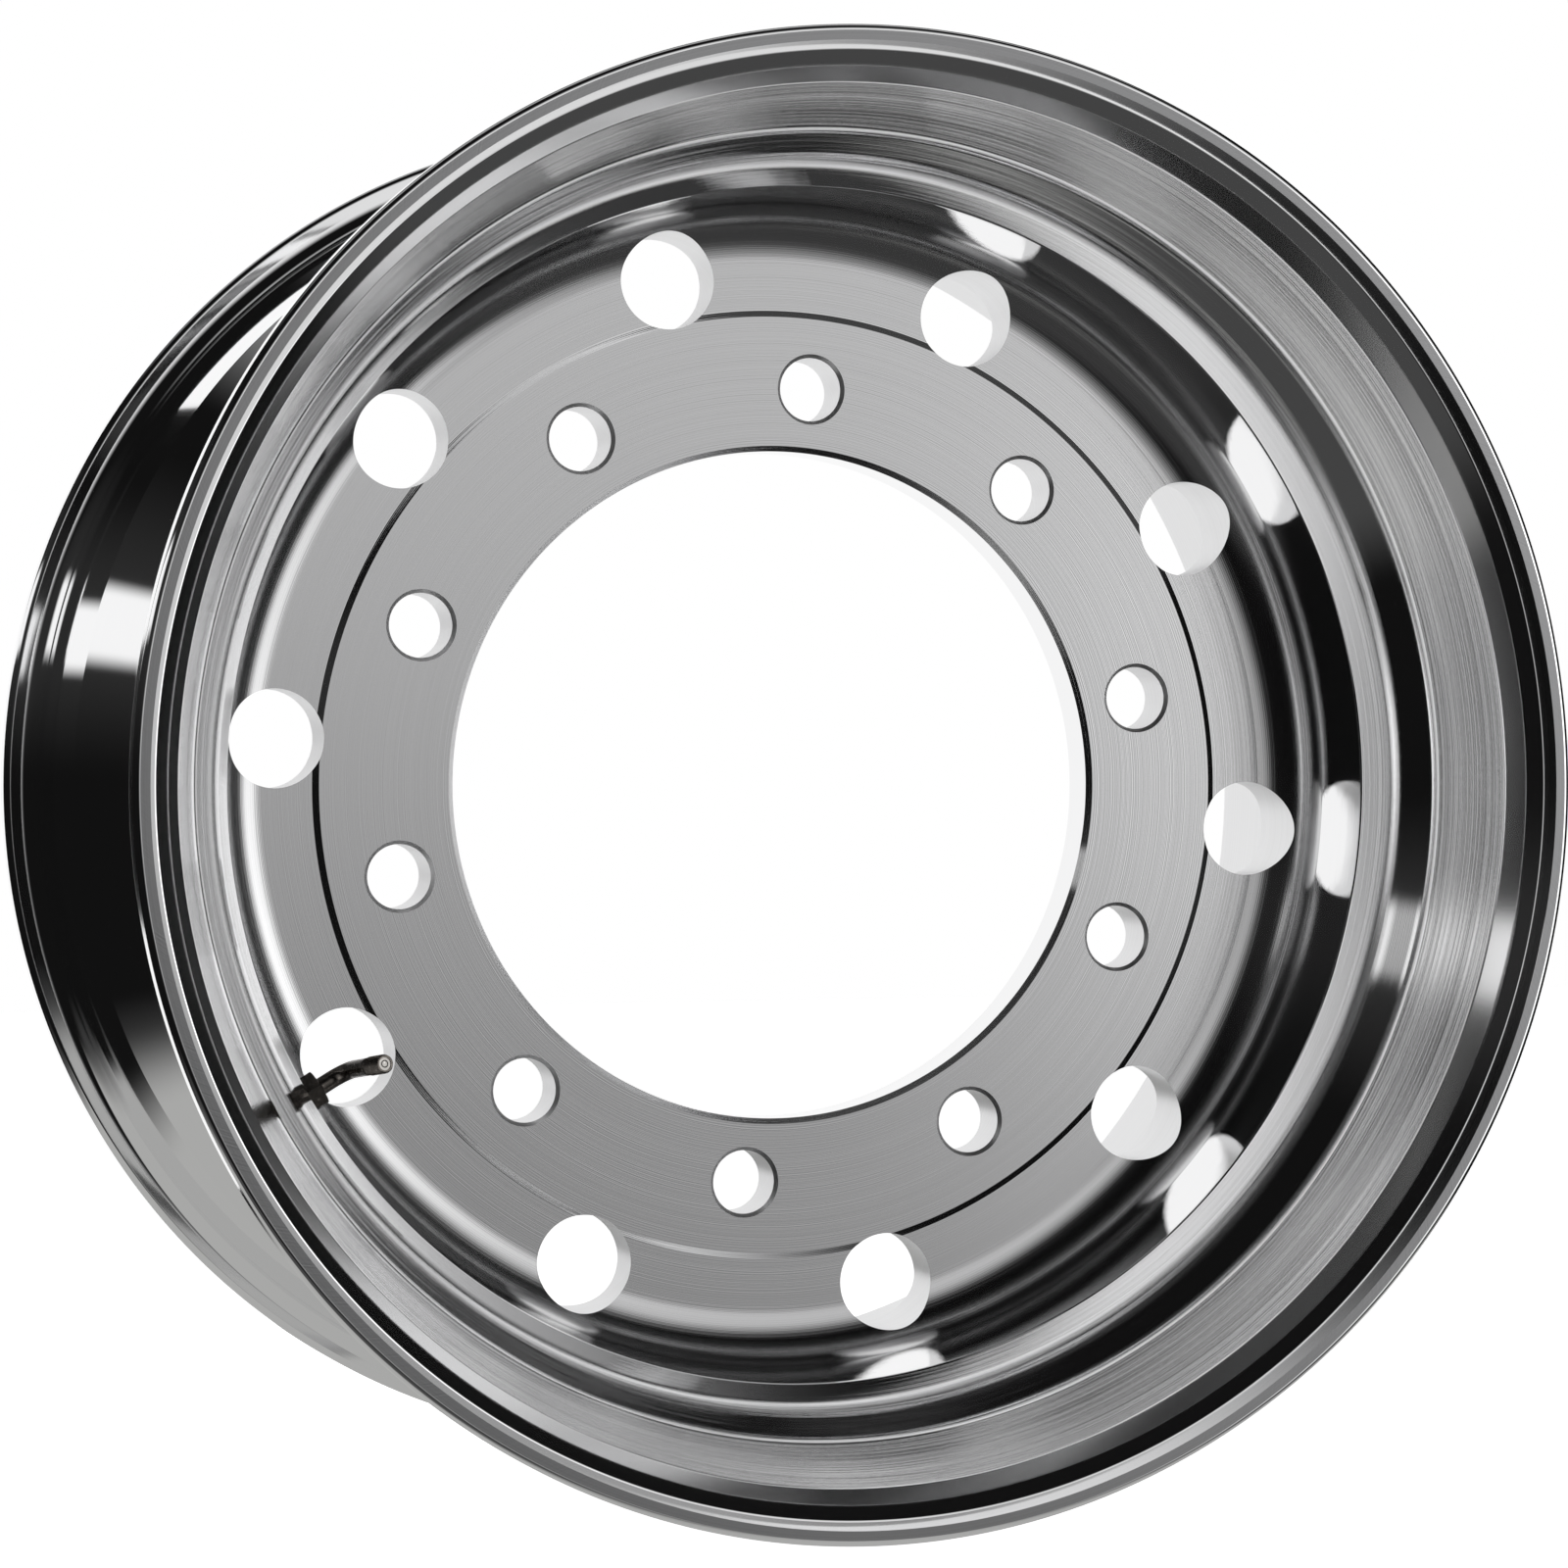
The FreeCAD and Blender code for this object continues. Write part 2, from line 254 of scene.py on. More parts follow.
def meet(p, u, q, v):
    """Point where the line through p along u crosses the line through q along v."""
    cross = u[0] * v[1] - u[1] * v[0]
    t = ((q[0] - p[0]) * v[1] - (q[1] - p[1]) * v[0]) / cross
    return (p[0] + t * u[0], p[1] + t * u[1])


def eased(share, run, turn):
    """Round at a corner that turns by an angle, whose tangents take up a share of a straight run."""
    return share * run / math.tan(math.radians(turn / 2))


def rim_side(seat_length, slope_angle, disc_face):
    """Bowl-side and tyre-side corners of one half of the rim that opens towards +Y."""
    seat = unit(SEAT_ANGLE)
    slope = unit(slope_angle)
    seat_end = (RIM_RADIUS - seat_length * seat[0] / seat[1], HALF_WIDTH - seat_length)
    under_slope = (seat_end[0] - SLOPE_WALL / slope[1], seat_end[1])
    well_corner = meet(seat_end, slope, (WELL_RADIUS, 0), (0, 1))
    band_edge = (RIM_RADIUS - (BAND_SETBACK * seat[0] + RIM_WALL) / seat[1], HALF_WIDTH - BAND_SETBACK)
    band_root = meet(band_edge, unit(BAND_ANGLE), under_slope, slope)
    hump_top = meet(under_slope, slope, (BOWL_RADIUS + HUMP_RISE, 0), (0, 1))
    hump_edge = meet(hump_top, unit(CREST_ANGLE), (BOWL_RADIUS, 0), (0, 1))
    disc_corner = meet(hump_edge, unit(BOWL_DRAFT), (0, disc_face), (1, 0))
    crest_run = math.dist(hump_edge, hump_top)
    slope_run = math.dist(hump_top, band_root)
    hump_round = eased(HUMP_SHARE, min(crest_run, slope_run), slope_angle - CREST_ANGLE)
    root_round = eased(ROOT_SHARE, slope_run, slope_angle - BAND_ANGLE)
    bowl = [
        disc_corner + (DISC_FILLET,),
        hump_edge + (HUMP_EDGE_ROUND,),
        hump_top + (hump_round,),
        band_root + (root_round,),
        band_edge + (BAND_ROUND,),
        (band_edge[0] + RIDGE_RISE, band_edge[1] + RIDGE_DEPTH, RIDGE_ROUND),
        (FACE_EDGE - LIP_LAND, FACE_PLANE - LIP_STEP, LIP_ROUND),
        (FACE_EDGE, FACE_PLANE - LIP_STEP, 0),
        (FACE_EDGE, FACE_PLANE, 0),
    ]
    tyre = [
        (FLANGE_RADIUS, FACE_PLANE, FLANGE_EDGE_ROUND),
        (FLANGE_RADIUS, HALF_WIDTH, FLANGE_BACK_ROUND),
        (RIM_RADIUS, HALF_WIDTH, FLANGE_ROOT_ROUND),
        seat_end + (SEAT_EDGE_ROUND,),
        well_corner + (WELL_ROUND,),
    ]
    return bowl, tyre


outer_bowl, outer_tyre = rim_side(OUTER_SEAT_LENGTH, OUTER_SLOPE_ANGLE, DISC_PLANE)
inner_bowl, inner_tyre = rim_side(INNER_SEAT_LENGTH, INNER_SLOPE_ANGLE, -PAD_STEP)
disc_corner, hump_edge, _, band_root, band_edge, ridge = (corner[:2] for corner in outer_bowl[:6])
bowl_at_valve = BOWL_RADIUS - (hump_edge[1] - VALVE_SETBACK) * math.tan(math.radians(BOWL_DRAFT))
valve_seat_inside = bowl_at_valve + VALVE_SEAT_CUT
valve_seat_outside = WELL_RADIUS - VALVE_SEAT_CUT


def outboard(corners):
    """Corners of a half that opens towards +Y, turned to the outboard side, in the opposite order."""
    return [(r, -y, radius) for r, y, radius in reversed(corners)]


def wheel_section():
    """Corners (radius, axial, round) of the wheel's closed section."""
    hub_side = [
        (BORE_RADIUS, -DISC_THICKNESS + BORE_OUTER_CHAMFER, 0),
        (BORE_RADIUS, -BORE_INNER_CHAMFER, 0),
        (BORE_RADIUS + BORE_INNER_CHAMFER, 0, 0),
        (PAD_RADIUS, 0, 0),
        (PAD_RADIUS + PAD_STEP_RUN, -PAD_STEP, PAD_STEP_ROUND),
    ]
    nut_side = [
        (PAD_RADIUS + PAD_STEP_RUN, -DISC_PLANE, PAD_STEP_ROUND),
        (PAD_RADIUS, -DISC_THICKNESS, 0),
        (BORE_RADIUS + BORE_OUTER_CHAMFER, -DISC_THICKNESS, 0),
    ]
    return hub_side + inner_bowl + inner_tyre + outboard(outer_tyre) + outboard(outer_bowl) + nut_side


def section_runs(corners):
    """Straight and round runs of a closed section, each (start, end, centre of the round or None)."""
    stops = []
    count = len(corners)
    for i, (r, y, radius) in enumerate(corners):
        here = Vector((r, y))
        if radius == 0:
            stops.append((here, None, here))
            continue
        back = (Vector(corners[i - 1][:2]) - here).normalized()
        ahead = (Vector(corners[(i + 1) % count][:2]) - here).normalized()
        half = back.angle(ahead) / 2
        centre = here + (back + ahead).normalized() * (radius / math.sin(half))
        reach = radius / math.tan(half)
        stops.append((here + back * reach, centre, here + ahead * reach))
    runs = []
    for i, (start, centre, end) in enumerate(stops):
        if centre is not None:
            runs.append((start, end, centre))
        following = stops[(i + 1) % count][0]
        if (following - end).length > TINY:
            runs.append((end, following, None))
    return runs


def run_points(run):
    """Points along a run, from its start up to but not including its end."""
    start, end, centre = run
    if centre is None:
        return [start]
    a = start - centre
    sweep = a.angle_signed(end - centre)
    step = SMALL_ARC_STEP if a.length < SMALL_ROUND else ARC_STEP
    if a.length > LARGE_ROUND:
        step = LARGE_ARC_STEP
    steps = max(2, math.ceil(abs(math.degrees(sweep)) / step))
    turns = [Matrix.Rotation(-sweep * i / steps, 2) for i in range(steps)]
    return [centre + turn @ a for turn in turns]


# Turned and drilled wheel
def finished_mesh(tree, base, settings):
    """Mesh that a Geometry Nodes tree makes from a base mesh, with its named inputs set."""
    holder = place_object(tree.name + "_base", base)
    modifier = holder.modifiers.new(tree.name, "NODES")
    modifier.node_group = tree
    for item in tree.interface.items_tree:
        if item.item_type == "SOCKET" and item.in_out == "INPUT" and item.name in settings:
            modifier[item.identifier] = settings[item.name]
    graph = bpy.context.evaluated_depsgraph_get()
    mesh = bpy.data.meshes.new_from_object(holder.evaluated_get(graph))
    bpy.data.objects.remove(holder)
    bpy.data.meshes.remove(base)
    return mesh


def new_tree(name, sizes):
    """Geometry Nodes tree with a geometry in and out, named sizes and a material."""
    tree = bpy.data.node_groups.new(name, "GeometryNodeTree")
    tree.interface.new_socket("Geometry", in_out="OUTPUT", socket_type="NodeSocketGeometry")
    tree.interface.new_socket("Section", in_out="INPUT", socket_type="NodeSocketGeometry")
    for size, value in sizes.items():
        kind = "NodeSocketInt" if isinstance(value, int) else "NodeSocketFloat"
        tree.interface.new_socket(size, in_out="INPUT", socket_type=kind)
    tree.interface.new_socket("Material", in_out="INPUT", socket_type="NodeSocketMaterial")
    graph = Graph(tree)
    source = tree.nodes.new("NodeGroupInput")
    inputs = {socket.name: Link(graph, socket) for socket in source.outputs if socket.name}
    return tree, graph, inputs


def close_tree(graph, geometry, material):
    """Ends a tree with its instances made real and its material set."""
    real = graph.add("GeometryNodeRealizeInstances", {"Geometry": geometry})
    made = graph.add("GeometryNodeSetMaterial", {"Geometry": real, "Material": material})
    graph.end("NodeGroupOutput", 0, made)


def turned_wheel_tree(sizes):
    """Turns a section about Y, then drills the rings of bolt and hand holes and the valve's seat."""
    tree, graph, given = new_tree("turned_wheel", sizes)
    quarter = math.pi / 2

    def vector(x=0.0, y=0.0, z=0.0):
        return graph.join(x, y, z)

    def moved(geometry, place=None, turn=None):
        inputs = {"Geometry": geometry}
        if place is not None:
            inputs["Translation"] = place
        if turn is not None:
            inputs["Rotation"] = turn
        return graph.add("GeometryNodeTransform", inputs)

    def cylinder(radius, length):
        return graph.add("GeometryNodeMeshCylinder", {
            "Vertices": given["Hole steps"], "Radius": radius, "Depth": length})

    def drill(radius, length):
        return moved(cylinder(radius, length), None, vector(x=quarter))

    def countersink(radius, depth, y):
        """Cone of 45 degrees that reaches one depth into the disc and two depths out of it."""
        blank = graph.add("GeometryNodeMeshCone", {
            "Vertices": given["Hole steps"], "Radius Bottom": radius + 2.0 * depth,
            "Radius Top": radius - depth, "Depth": 3.0 * depth})
        return moved(blank, vector(y=y - depth), vector(x=-quarter))

    def ring(shape, circle, angle):
        spots = graph.add("GeometryNodeMeshCircle", {"Vertices": given["Hole count"], "Radius": circle})
        spots = moved(spots, None, vector(x=quarter, y=-angle))
        placed = graph.add("GeometryNodeInstanceOnPoints", {"Points": spots, "Instance": shape})
        return graph.add("GeometryNodeRealizeInstances", {"Geometry": placed})

    def at_valve(radius, near, far):
        middle = vector(x=(near + far) / 2.0, y=-given["Valve setback"])
        lying = moved(cylinder(radius, far - near), middle, vector(y=quarter))
        return moved(lying, None, vector(y=-given["Valve angle"]))

    def cut(geometry, cutters):
        return graph.add("GeometryNodeMeshBoolean", {"Mesh 1": geometry, "Mesh 2": cutters},
                         operation="DIFFERENCE", solver="MANIFOLD")

    section = graph.add("GeometryNodeMeshToCurve", {"Mesh": given["Section"]})
    path = graph.add("GeometryNodeCurvePrimitiveCircle", {
        "Resolution": given["Turn steps"], "Radius": given["Section radius"]})
    body = graph.add("GeometryNodeCurveToMesh", {"Curve": path, "Profile Curve": section})
    body = graph.add("GeometryNodeFlipFaces", {"Mesh": body})
    body = moved(body, None, vector(x=quarter))
    disc = given["Disc thickness"]
    reach = disc * DRILL_LENGTH
    bolt = given["Bolt hole"]
    bolts = ring(drill(bolt, reach), given["Bolt circle"], given["Bolt angle"])
    hands = ring(drill(given["Hand hole"], reach), given["Hand circle"], given["Valve angle"])
    shank = at_valve(given["Valve hole"], given["Valve near"], given["Valve far"])
    body = cut(body, [bolts, hands, shank])
    sink = countersink(bolt, given["Bolt chamfer"], -disc)
    fronts = ring(sink, given["Bolt circle"], given["Bolt angle"])
    inside = at_valve(given["Valve seat"], given["Valve near"], given["Valve seat inside"])
    outside = at_valve(given["Valve seat"], given["Valve seat outside"], given["Valve far"])
    body = cut(body, [fronts, inside, outside])
    close_tree(graph, body, given["Material"])
    return tree


def wheel_mesh(runs, material):
    """The turned and drilled wheel."""
    points = [p for run in runs for p in run_points(run)]
    base = bpy.data.meshes.new("wheel_section")
    edges = [(i, (i + 1) % len(points)) for i in range(len(points))]
    base.from_pydata([((p.x - RIM_RADIUS) * MM, p.y * MM, 0) for p in points], edges, [])
    sizes = {
        "Section radius": RIM_RADIUS * MM,
        "Turn steps": TURN_STEPS,
        "Hole steps": HOLE_STEPS,
        "Hole count": HOLE_COUNT,
        "Disc thickness": DISC_THICKNESS * MM,
        "Bolt circle": BOLT_CIRCLE * MM,
        "Bolt angle": math.radians(BOLT_ANGLE),
        "Bolt hole": BOLT_HOLE * MM,
        "Bolt chamfer": BOLT_CHAMFER * MM,
        "Hand circle": HAND_CIRCLE * MM,
        "Hand hole": HAND_HOLE * MM,
        "Valve angle": math.radians(VALVE_ANGLE),
        "Valve setback": VALVE_SETBACK * MM,
        "Valve hole": VALVE_HOLE * MM,
        "Valve seat": VALVE_SEAT * MM,
        "Valve near": (BOWL_RADIUS - CUTTER_PROUD) * MM,
        "Valve far": (WELL_RADIUS + CUTTER_PROUD) * MM,
        "Valve seat inside": valve_seat_inside * MM,
        "Valve seat outside": valve_seat_outside * MM,
    }
    settings = dict(sizes)
    settings["Material"] = material
    return finished_mesh(turned_wheel_tree(sizes), base, settings)


# Normals of the turned surfaces and of the holes
def on_axis(angle, radius, y):
    """Point in metres at an angle from +X towards +Z about the wheel's axis."""
    a = math.radians(angle)
    return Vector((radius * math.cos(a), y, radius * math.sin(a))) * MM


def hole_axes():
    """Axes of the drilled holes, as (point, direction) in metres."""
    along = Vector((0, 1, 0))
    axes = []
    for i in range(HOLE_COUNT):
        axes.append((on_axis(BOLT_ANGLE + i * HOLE_STEP, BOLT_CIRCLE, 0), along))
        axes.append((on_axis(VALVE_ANGLE + i * HOLE_STEP, HAND_CIRCLE, 0), along))
    valve = on_axis(VALVE_ANGLE, WELL_RADIUS, -VALVE_SETBACK)
    axes.append((valve, on_axis(VALVE_ANGLE, 1 / MM, 0)))
    return axes


def read_vectors(items, name):
    """One vector of each vertex or face, as rows of an array."""
    values = np.zeros(len(items) * 3)
    items.foreach_get(name, values)
    return values.reshape(-1, 3)


def read_numbers(items, name):
    """One whole number of each face or face corner."""
    values = np.zeros(len(items), int)
    items.foreach_get(name, values)
    return values


def in_section(points):
    """Places (radius, axial) of points, with the cosine and sine of their angles about the axis."""
    radius = np.hypot(points[:, 0], points[:, 2])
    return np.column_stack((radius, points[:, 1])), points[:, 0] / radius, points[:, 2] / radius


def in_space(normals, cosine, sine):
    """Normals in the section plane, turned to their angles about the axis."""
    return np.column_stack((normals[:, 0] * cosine, normals[:, 1], normals[:, 0] * sine))


def run_normals(points, run):
    """Distance to a run and outward normal, both in the section plane, at points (radius, axial)."""
    start, end, centre = (None if p is None else np.array(p) * MM for p in run)
    ahead = end - start
    length = np.linalg.norm(ahead)
    side = np.array((-ahead[1], ahead[0])) / length
    if centre is None:
        along = np.clip((points - start) @ ahead / length ** 2, 0, 1)
        gap = np.linalg.norm(points - start - along[:, None] * ahead, axis=1)
        return gap, np.repeat(side[None], len(points), 0)
    away = points - centre
    reach = np.linalg.norm(away, axis=1)
    radius = np.linalg.norm(start - centre)
    middle = (start + end) / 2 - centre
    middle = middle / np.linalg.norm(middle)
    half = math.asin(min(1.0, length / 2 / radius))
    inside = away @ middle / reach >= math.cos(half) - ARC_END_SLACK
    ends = np.minimum(np.linalg.norm(points - start, axis=1), np.linalg.norm(points - end, axis=1))
    gap = np.where(inside, np.abs(reach - radius), ends)
    outward = np.sign(side @ middle)
    return gap, outward * away / reach[:, None]


def nearest_runs(centres, flat, runs):
    """Run of the section that each face lies on, and -1 for the faces of holes."""
    spots, cosine, sine = in_section(centres)
    best = np.full(len(centres), SURFACE_GAP * MM)
    run_of = np.full(len(centres), -1)
    for i, run in enumerate(runs):
        gap, normals = run_normals(spots, run)
        facing = np.einsum("ij,ij->i", in_space(normals, cosine, sine), flat)
        near = (facing > SURFACE_FACING) & (gap < best)
        best[near] = gap[near]
        run_of[near] = i
    return run_of


def from_axis(points, axis):
    """Offsets of points from a hole's axis, square to it, and the axis's direction."""
    point, along = (np.array(v) for v in axis)
    away = points - point
    return away - (away @ along)[:, None] * along, along


def nearest_holes(centres, run_of, axes):
    """Hole that each face off the section belongs to, and -1 for the other faces."""
    hole_faces = np.flatnonzero(run_of == -1)
    nearest = np.full(len(hole_faces), np.inf)
    axis_of = np.full(len(centres), -1)
    for i, axis in enumerate(axes):
        gap = np.linalg.norm(from_axis(centres[hole_faces], axis)[0], axis=1)
        closer = gap < nearest
        nearest[closer] = gap[closer]
        axis_of[hole_faces[closer]] = i
    return axis_of


def hole_normals(corners, centres, flat, axis):
    """Normals at face corners of a hole, each turned about its axis from the normal of its face."""
    middle, along = from_axis(centres, axis)
    middle /= np.linalg.norm(middle, axis=1)[:, None]
    around = from_axis(corners, axis)[0]
    around /= np.maximum(np.linalg.norm(around, axis=1), TINY * MM)[:, None]
    level = np.einsum("ij,ij->i", flat, middle)[:, None]
    rise = (flat @ along)[:, None]
    return around * level + along * rise


def set_turned_normals(mesh, runs):
    """Gives each face corner the normal of the section run or hole that its face lies on.

    Returns the run of each face, and -1 for the faces of holes.
    """
    centres = read_vectors(mesh.polygons, "center")
    flat = read_vectors(mesh.polygons, "normal")
    face_of = np.repeat(np.arange(len(flat)), read_numbers(mesh.polygons, "loop_total"))
    corners = read_vectors(mesh.vertices, "co")[read_numbers(mesh.loops, "vertex_index")]
    result = flat[face_of]
    run_of = nearest_runs(centres, flat, runs)
    spots, cosine, sine = in_section(corners)
    for i, run in enumerate(runs):
        chosen = run_of[face_of] == i
        normals = run_normals(spots[chosen], run)[1]
        result[chosen] = in_space(normals, cosine[chosen], sine[chosen])
    axes = hole_axes()
    axis_of = nearest_holes(centres, run_of, axes)
    for i, axis in enumerate(axes):
        chosen = np.flatnonzero(axis_of[face_of] == i)
        faces = face_of[chosen]
        result[chosen] = hole_normals(corners[chosen], centres[faces], flat[faces], axis)
    result /= np.linalg.norm(result, axis=1)[:, None]
    mesh.polygons.foreach_set("use_smooth", np.ones(len(flat), bool))
    mesh.normals_split_custom_set(result.tolist())
    return run_of


# Finishes of the metal: turned rings, haze, hatching across the flange face, and scuffed plate
RING_LEAN = 0.8
WIDE_RINGS = 0.12
FINE_SHARE = 0.7
FINE_RELIEF = 0.8
HATCH_PITCH = 0.9
HAZE_SCALE = 9.0
HAZE_DETAIL = 2.0
SCUFF_SCALE = 420.0
SCUFF_DETAIL = 4.0
SCUFF_FADE = (0.5, 0.75)
SCUFF_GAIN = 1.9
SCUFF_SMOOTH = 0.08
SCUFF_ROUGH = 0.2
SCUFF_DEPTH = 0.02
SCUFF_STRENGTH = 0.4

# Finish of the rubber seals
RUBBER_DARK = (0.018, 0.018, 0.018)
RUBBER_PALE = (0.04, 0.04, 0.04)
RUBBER_ROUGH = 0.55
GRAIN_SCALE = 900.0
GRAIN_DETAIL = 3.0
GRAIN_ROUGH = 0.2
GRAIN_DEPTH = 0.03
GRAIN_STRENGTH = 0.5


def opaque(tint):
    """Colour with its alpha."""
    return tint + (1,)


def finish_graph(name):
    """A new material with its graph, its shader and the object coordinates."""
    made = bpy.data.materials.new(name)
    made.use_nodes = True
    graph = Graph(made.node_tree)
    place = graph.add("ShaderNodeTexCoord", output="Object")
    return made, graph, made.node_tree.nodes["Principled BSDF"], place


def feed_shader(graph, shader, colour, rough, metallic, height, depth, strength=1.0):
    """Feeds a shader with its colour, roughness and relief."""
    graph.feed(shader.inputs["Base Color"], colour)
    graph.feed(shader.inputs["Roughness"], rough)
    graph.feed(shader.inputs["Metallic"], metallic)
    bump = graph.add("ShaderNodeBump", {"Height": height, "Strength": strength, "Distance": depth * MM})
    graph.feed(shader.inputs["Normal"], bump)


def aluminium(name, tint, rough, spread, ring_pitch, ring_depth, ring_shade, hatch_depth=0.0):
    """Turned aluminium: rings across the section, hazy patches, and slanting tool marks if any."""
    made, graph, shader, place = finish_graph(name)
    x, y, z = graph.split(place)
    across = (x * x + z * z).math("SQRT") + y.math("ABSOLUTE") * RING_LEAN
    fine = graph.streaks(across * (1 / (ring_pitch * MM)))
    wide = graph.streaks(across * (WIDE_RINGS / (ring_pitch * MM)))
    haze = graph.specks(place, HAZE_SCALE, HAZE_DETAIL)
    rings = fine * FINE_SHARE + wide * (1 - FINE_SHARE)
    height = fine * FINE_RELIEF
    if hatch_depth:
        slant = z.math("ARCTAN2", x) * (RIM_RADIUS / HATCH_PITCH) + across * (1 / (HATCH_PITCH * MM))
        height = height + graph.streaks(slant) * (hatch_depth / ring_depth)
    dark = tuple(c * (1 - ring_shade) for c in tint)
    colour = graph.mix(rings, opaque(dark), opaque(tint))
    feed_shader(graph, shader, colour, rough - spread + 2 * spread * haze, 1.0, height, ring_depth)
    return made


def dark_plate(name, tint, rough):
    """Plated metal with faint scuffs."""
    made, graph, shader, place = finish_graph(name)
    scuffs = graph.specks(place, SCUFF_SCALE, SCUFF_DETAIL)
    worn = tuple(min(1.0, c * SCUFF_GAIN) for c in tint)
    colour = graph.mix(graph.fade(scuffs, *SCUFF_FADE), opaque(tint), opaque(worn))
    scuffed = rough - SCUFF_SMOOTH + SCUFF_ROUGH * scuffs
    feed_shader(graph, shader, colour, scuffed, 1.0, scuffs, SCUFF_DEPTH, SCUFF_STRENGTH)
    return made


def rubber(name):
    """Moulded rubber with a fine grain."""
    made, graph, shader, place = finish_graph(name)
    grain = graph.specks(place, GRAIN_SCALE, GRAIN_DETAIL)
    colour = graph.mix(grain, opaque(RUBBER_DARK), opaque(RUBBER_PALE))
    grained = RUBBER_ROUGH + GRAIN_ROUGH * grain
    feed_shader(graph, shader, colour, grained, 0.0, grain, GRAIN_DEPTH, GRAIN_STRENGTH)
    return made


ALUMINIUM = (0.90, 0.90, 0.905)
polished = aluminium(
    "polished_aluminium", (0.94, 0.94, 0.945), rough=0.045, spread=0.02,
    ring_pitch=0.8, ring_depth=0.0004, ring_shade=0.02)
polished_bowl = aluminium(
    "polished_bowl", ALUMINIUM, rough=0.06, spread=0.02,
    ring_pitch=0.35, ring_depth=0.014, ring_shade=0.02)
polished_lip = aluminium(
    "polished_lip", ALUMINIUM, rough=0.13, spread=0.02,
    ring_pitch=0.8, ring_depth=0.0004, ring_shade=0.02)
turned_disc = aluminium(
    "turned_disc", (0.64, 0.64, 0.645), rough=0.16, spread=0.03,
    ring_pitch=0.5, ring_depth=0.035, ring_shade=0.10)
satin_band = aluminium(
    "satin_band", ALUMINIUM, rough=0.14, spread=0.03,
    ring_pitch=0.35, ring_depth=0.075, ring_shade=0.06)
flange_land = aluminium(
    "flange_land", (0.34, 0.34, 0.345), rough=0.30, spread=0.04,
    ring_pitch=0.9, ring_depth=0.012, ring_shade=0.25, hatch_depth=0.035)
machined = aluminium(
    "machined_aluminium", (0.84, 0.84, 0.845), rough=0.36, spread=0.05,
    ring_pitch=1.1, ring_depth=0.008, ring_shade=0.10)
valve_plate = dark_plate("black_nickel", (0.13, 0.118, 0.106), rough=0.22)
core_plate = dark_plate("core_nickel", (0.40, 0.385, 0.365), rough=0.25)
spring_wire = dark_plate("spring_wire", (0.5, 0.5, 0.5), rough=0.3)
seal_rubber = rubber("seal_rubber")


# Where each finish lies on the wheel
def bowl_reach(corners, depth):
    """Radius of a bowl at a depth, on the straight lines between its corners."""
    return np.interp(depth, [c[1] for c in corners], [c[0] for c in corners])


def run_finish(start, end, centre):
    """Finish that the real wheel has along one run of its section."""
    r, y = (start + end) / 2
    depth = -y
    straight = centre is None
    level = abs(start.y - end.y) < TINY
    fillet_start = disc_corner[0] - DISC_FILLET
    if straight and level and depth > DISC_PLANE - SURFACE_GAP and r < fillet_start:
        return turned_disc
    if not straight and fillet_start < r < disc_corner[0] and 0 < depth < DISC_PLANE + DISC_FILLET:
        return turned_disc
    if straight and r > band_edge[0] + SURFACE_GAP and 0 < depth < FACE_PLANE - SURFACE_GAP:
        return polished_lip if r < FACE_EDGE else polished
    if straight and band_root[1] < depth < band_edge[1] and r < band_edge[0]:
        return satin_band
    if not straight and math.dist((r, depth), ridge) < RIDGE_ROUND / 4:
        return satin_band
    if level and abs(abs(y) - FACE_PLANE) < SURFACE_GAP:
        return flange_land
    if y > -PAD_STEP - SURFACE_GAP and BORE_RADIUS + BORE_INNER_CHAMFER < r < fillet_start:
        return machined
    if y > 0 and r < FACE_EDGE and r <= bowl_reach(inner_bowl, y) + INNER_BOWL_SLACK:
        return machined
    if PAD_STEP < depth < FACE_PLANE and r < bowl_reach(outer_bowl, depth) + OUTER_BOWL_SLACK:
        return polished_bowl
    return polished


def lay_finishes(mesh, runs, run_of):
    """Gives each stretch of the section its finish, and the holes a machined one."""
    finishes = [polished, turned_disc, satin_band, flange_land, machined, polished_bowl, polished_lip]
    mesh.materials.clear()
    for one in finishes:
        mesh.materials.append(one)
    of_run = [finishes.index(run_finish(*run)) for run in runs]
    of_holes = [finishes.index(machined)]
    index = np.array(of_run + of_holes)[run_of]
    mesh.polygons.foreach_set("material_index", index.astype(np.int32))


# Valve stem: its head, shank, bend, spout, thread and bore
SHANK = 4.6
SHANK_PROUD = 0.9
SHANK_CHAMFER = 1.0
STEM = 3.6
STEM_BEND = 10.0
STEM_BEND_ANGLE = 75.5
STEM_LEAD = 4.3
SPOUT_LENGTH = 28.2
HEAD = 8.5
HEAD_THICKNESS = 3.0
HEAD_ROUND = 1.0
SEAL_THICKNESS = 2.4
WASHER_THICKNESS = 1.4
NUT_HEIGHT = 6.5
MOUTH = 3.875
MOUTH_LENGTH = 13.0
MOUTH_CHAMFER = 0.7
RELIEF = 3.3
RELIEF_LENGTH = 1.6
CORE_BORE = 2.62
CORE_BORE_LENGTH = 6.4
CORE_TAPER = 3.6
CHAMBER = 2.05
CHAMBER_LENGTH = 6.0
AIR_BORE = 1.5
THREAD_PITCH = 0.794
THREAD_DEPTH = 0.42
THREAD_STEPS = 8
STEM_STEPS = 48
HEAD_STEPS = 4
BEND_STEP = 4.0
SHARP_ANGLE = 32.0

# Core spring, with depths below the stem's mouth
COLLAR_END = 5.9
BARREL_FLOOR = 9.6
SPRING_WIRE = 0.28
SPRING_MEAN = 1.01
SPRING_TURNS = 4
COIL_STEPS = 24
WIRE_STEPS = 8

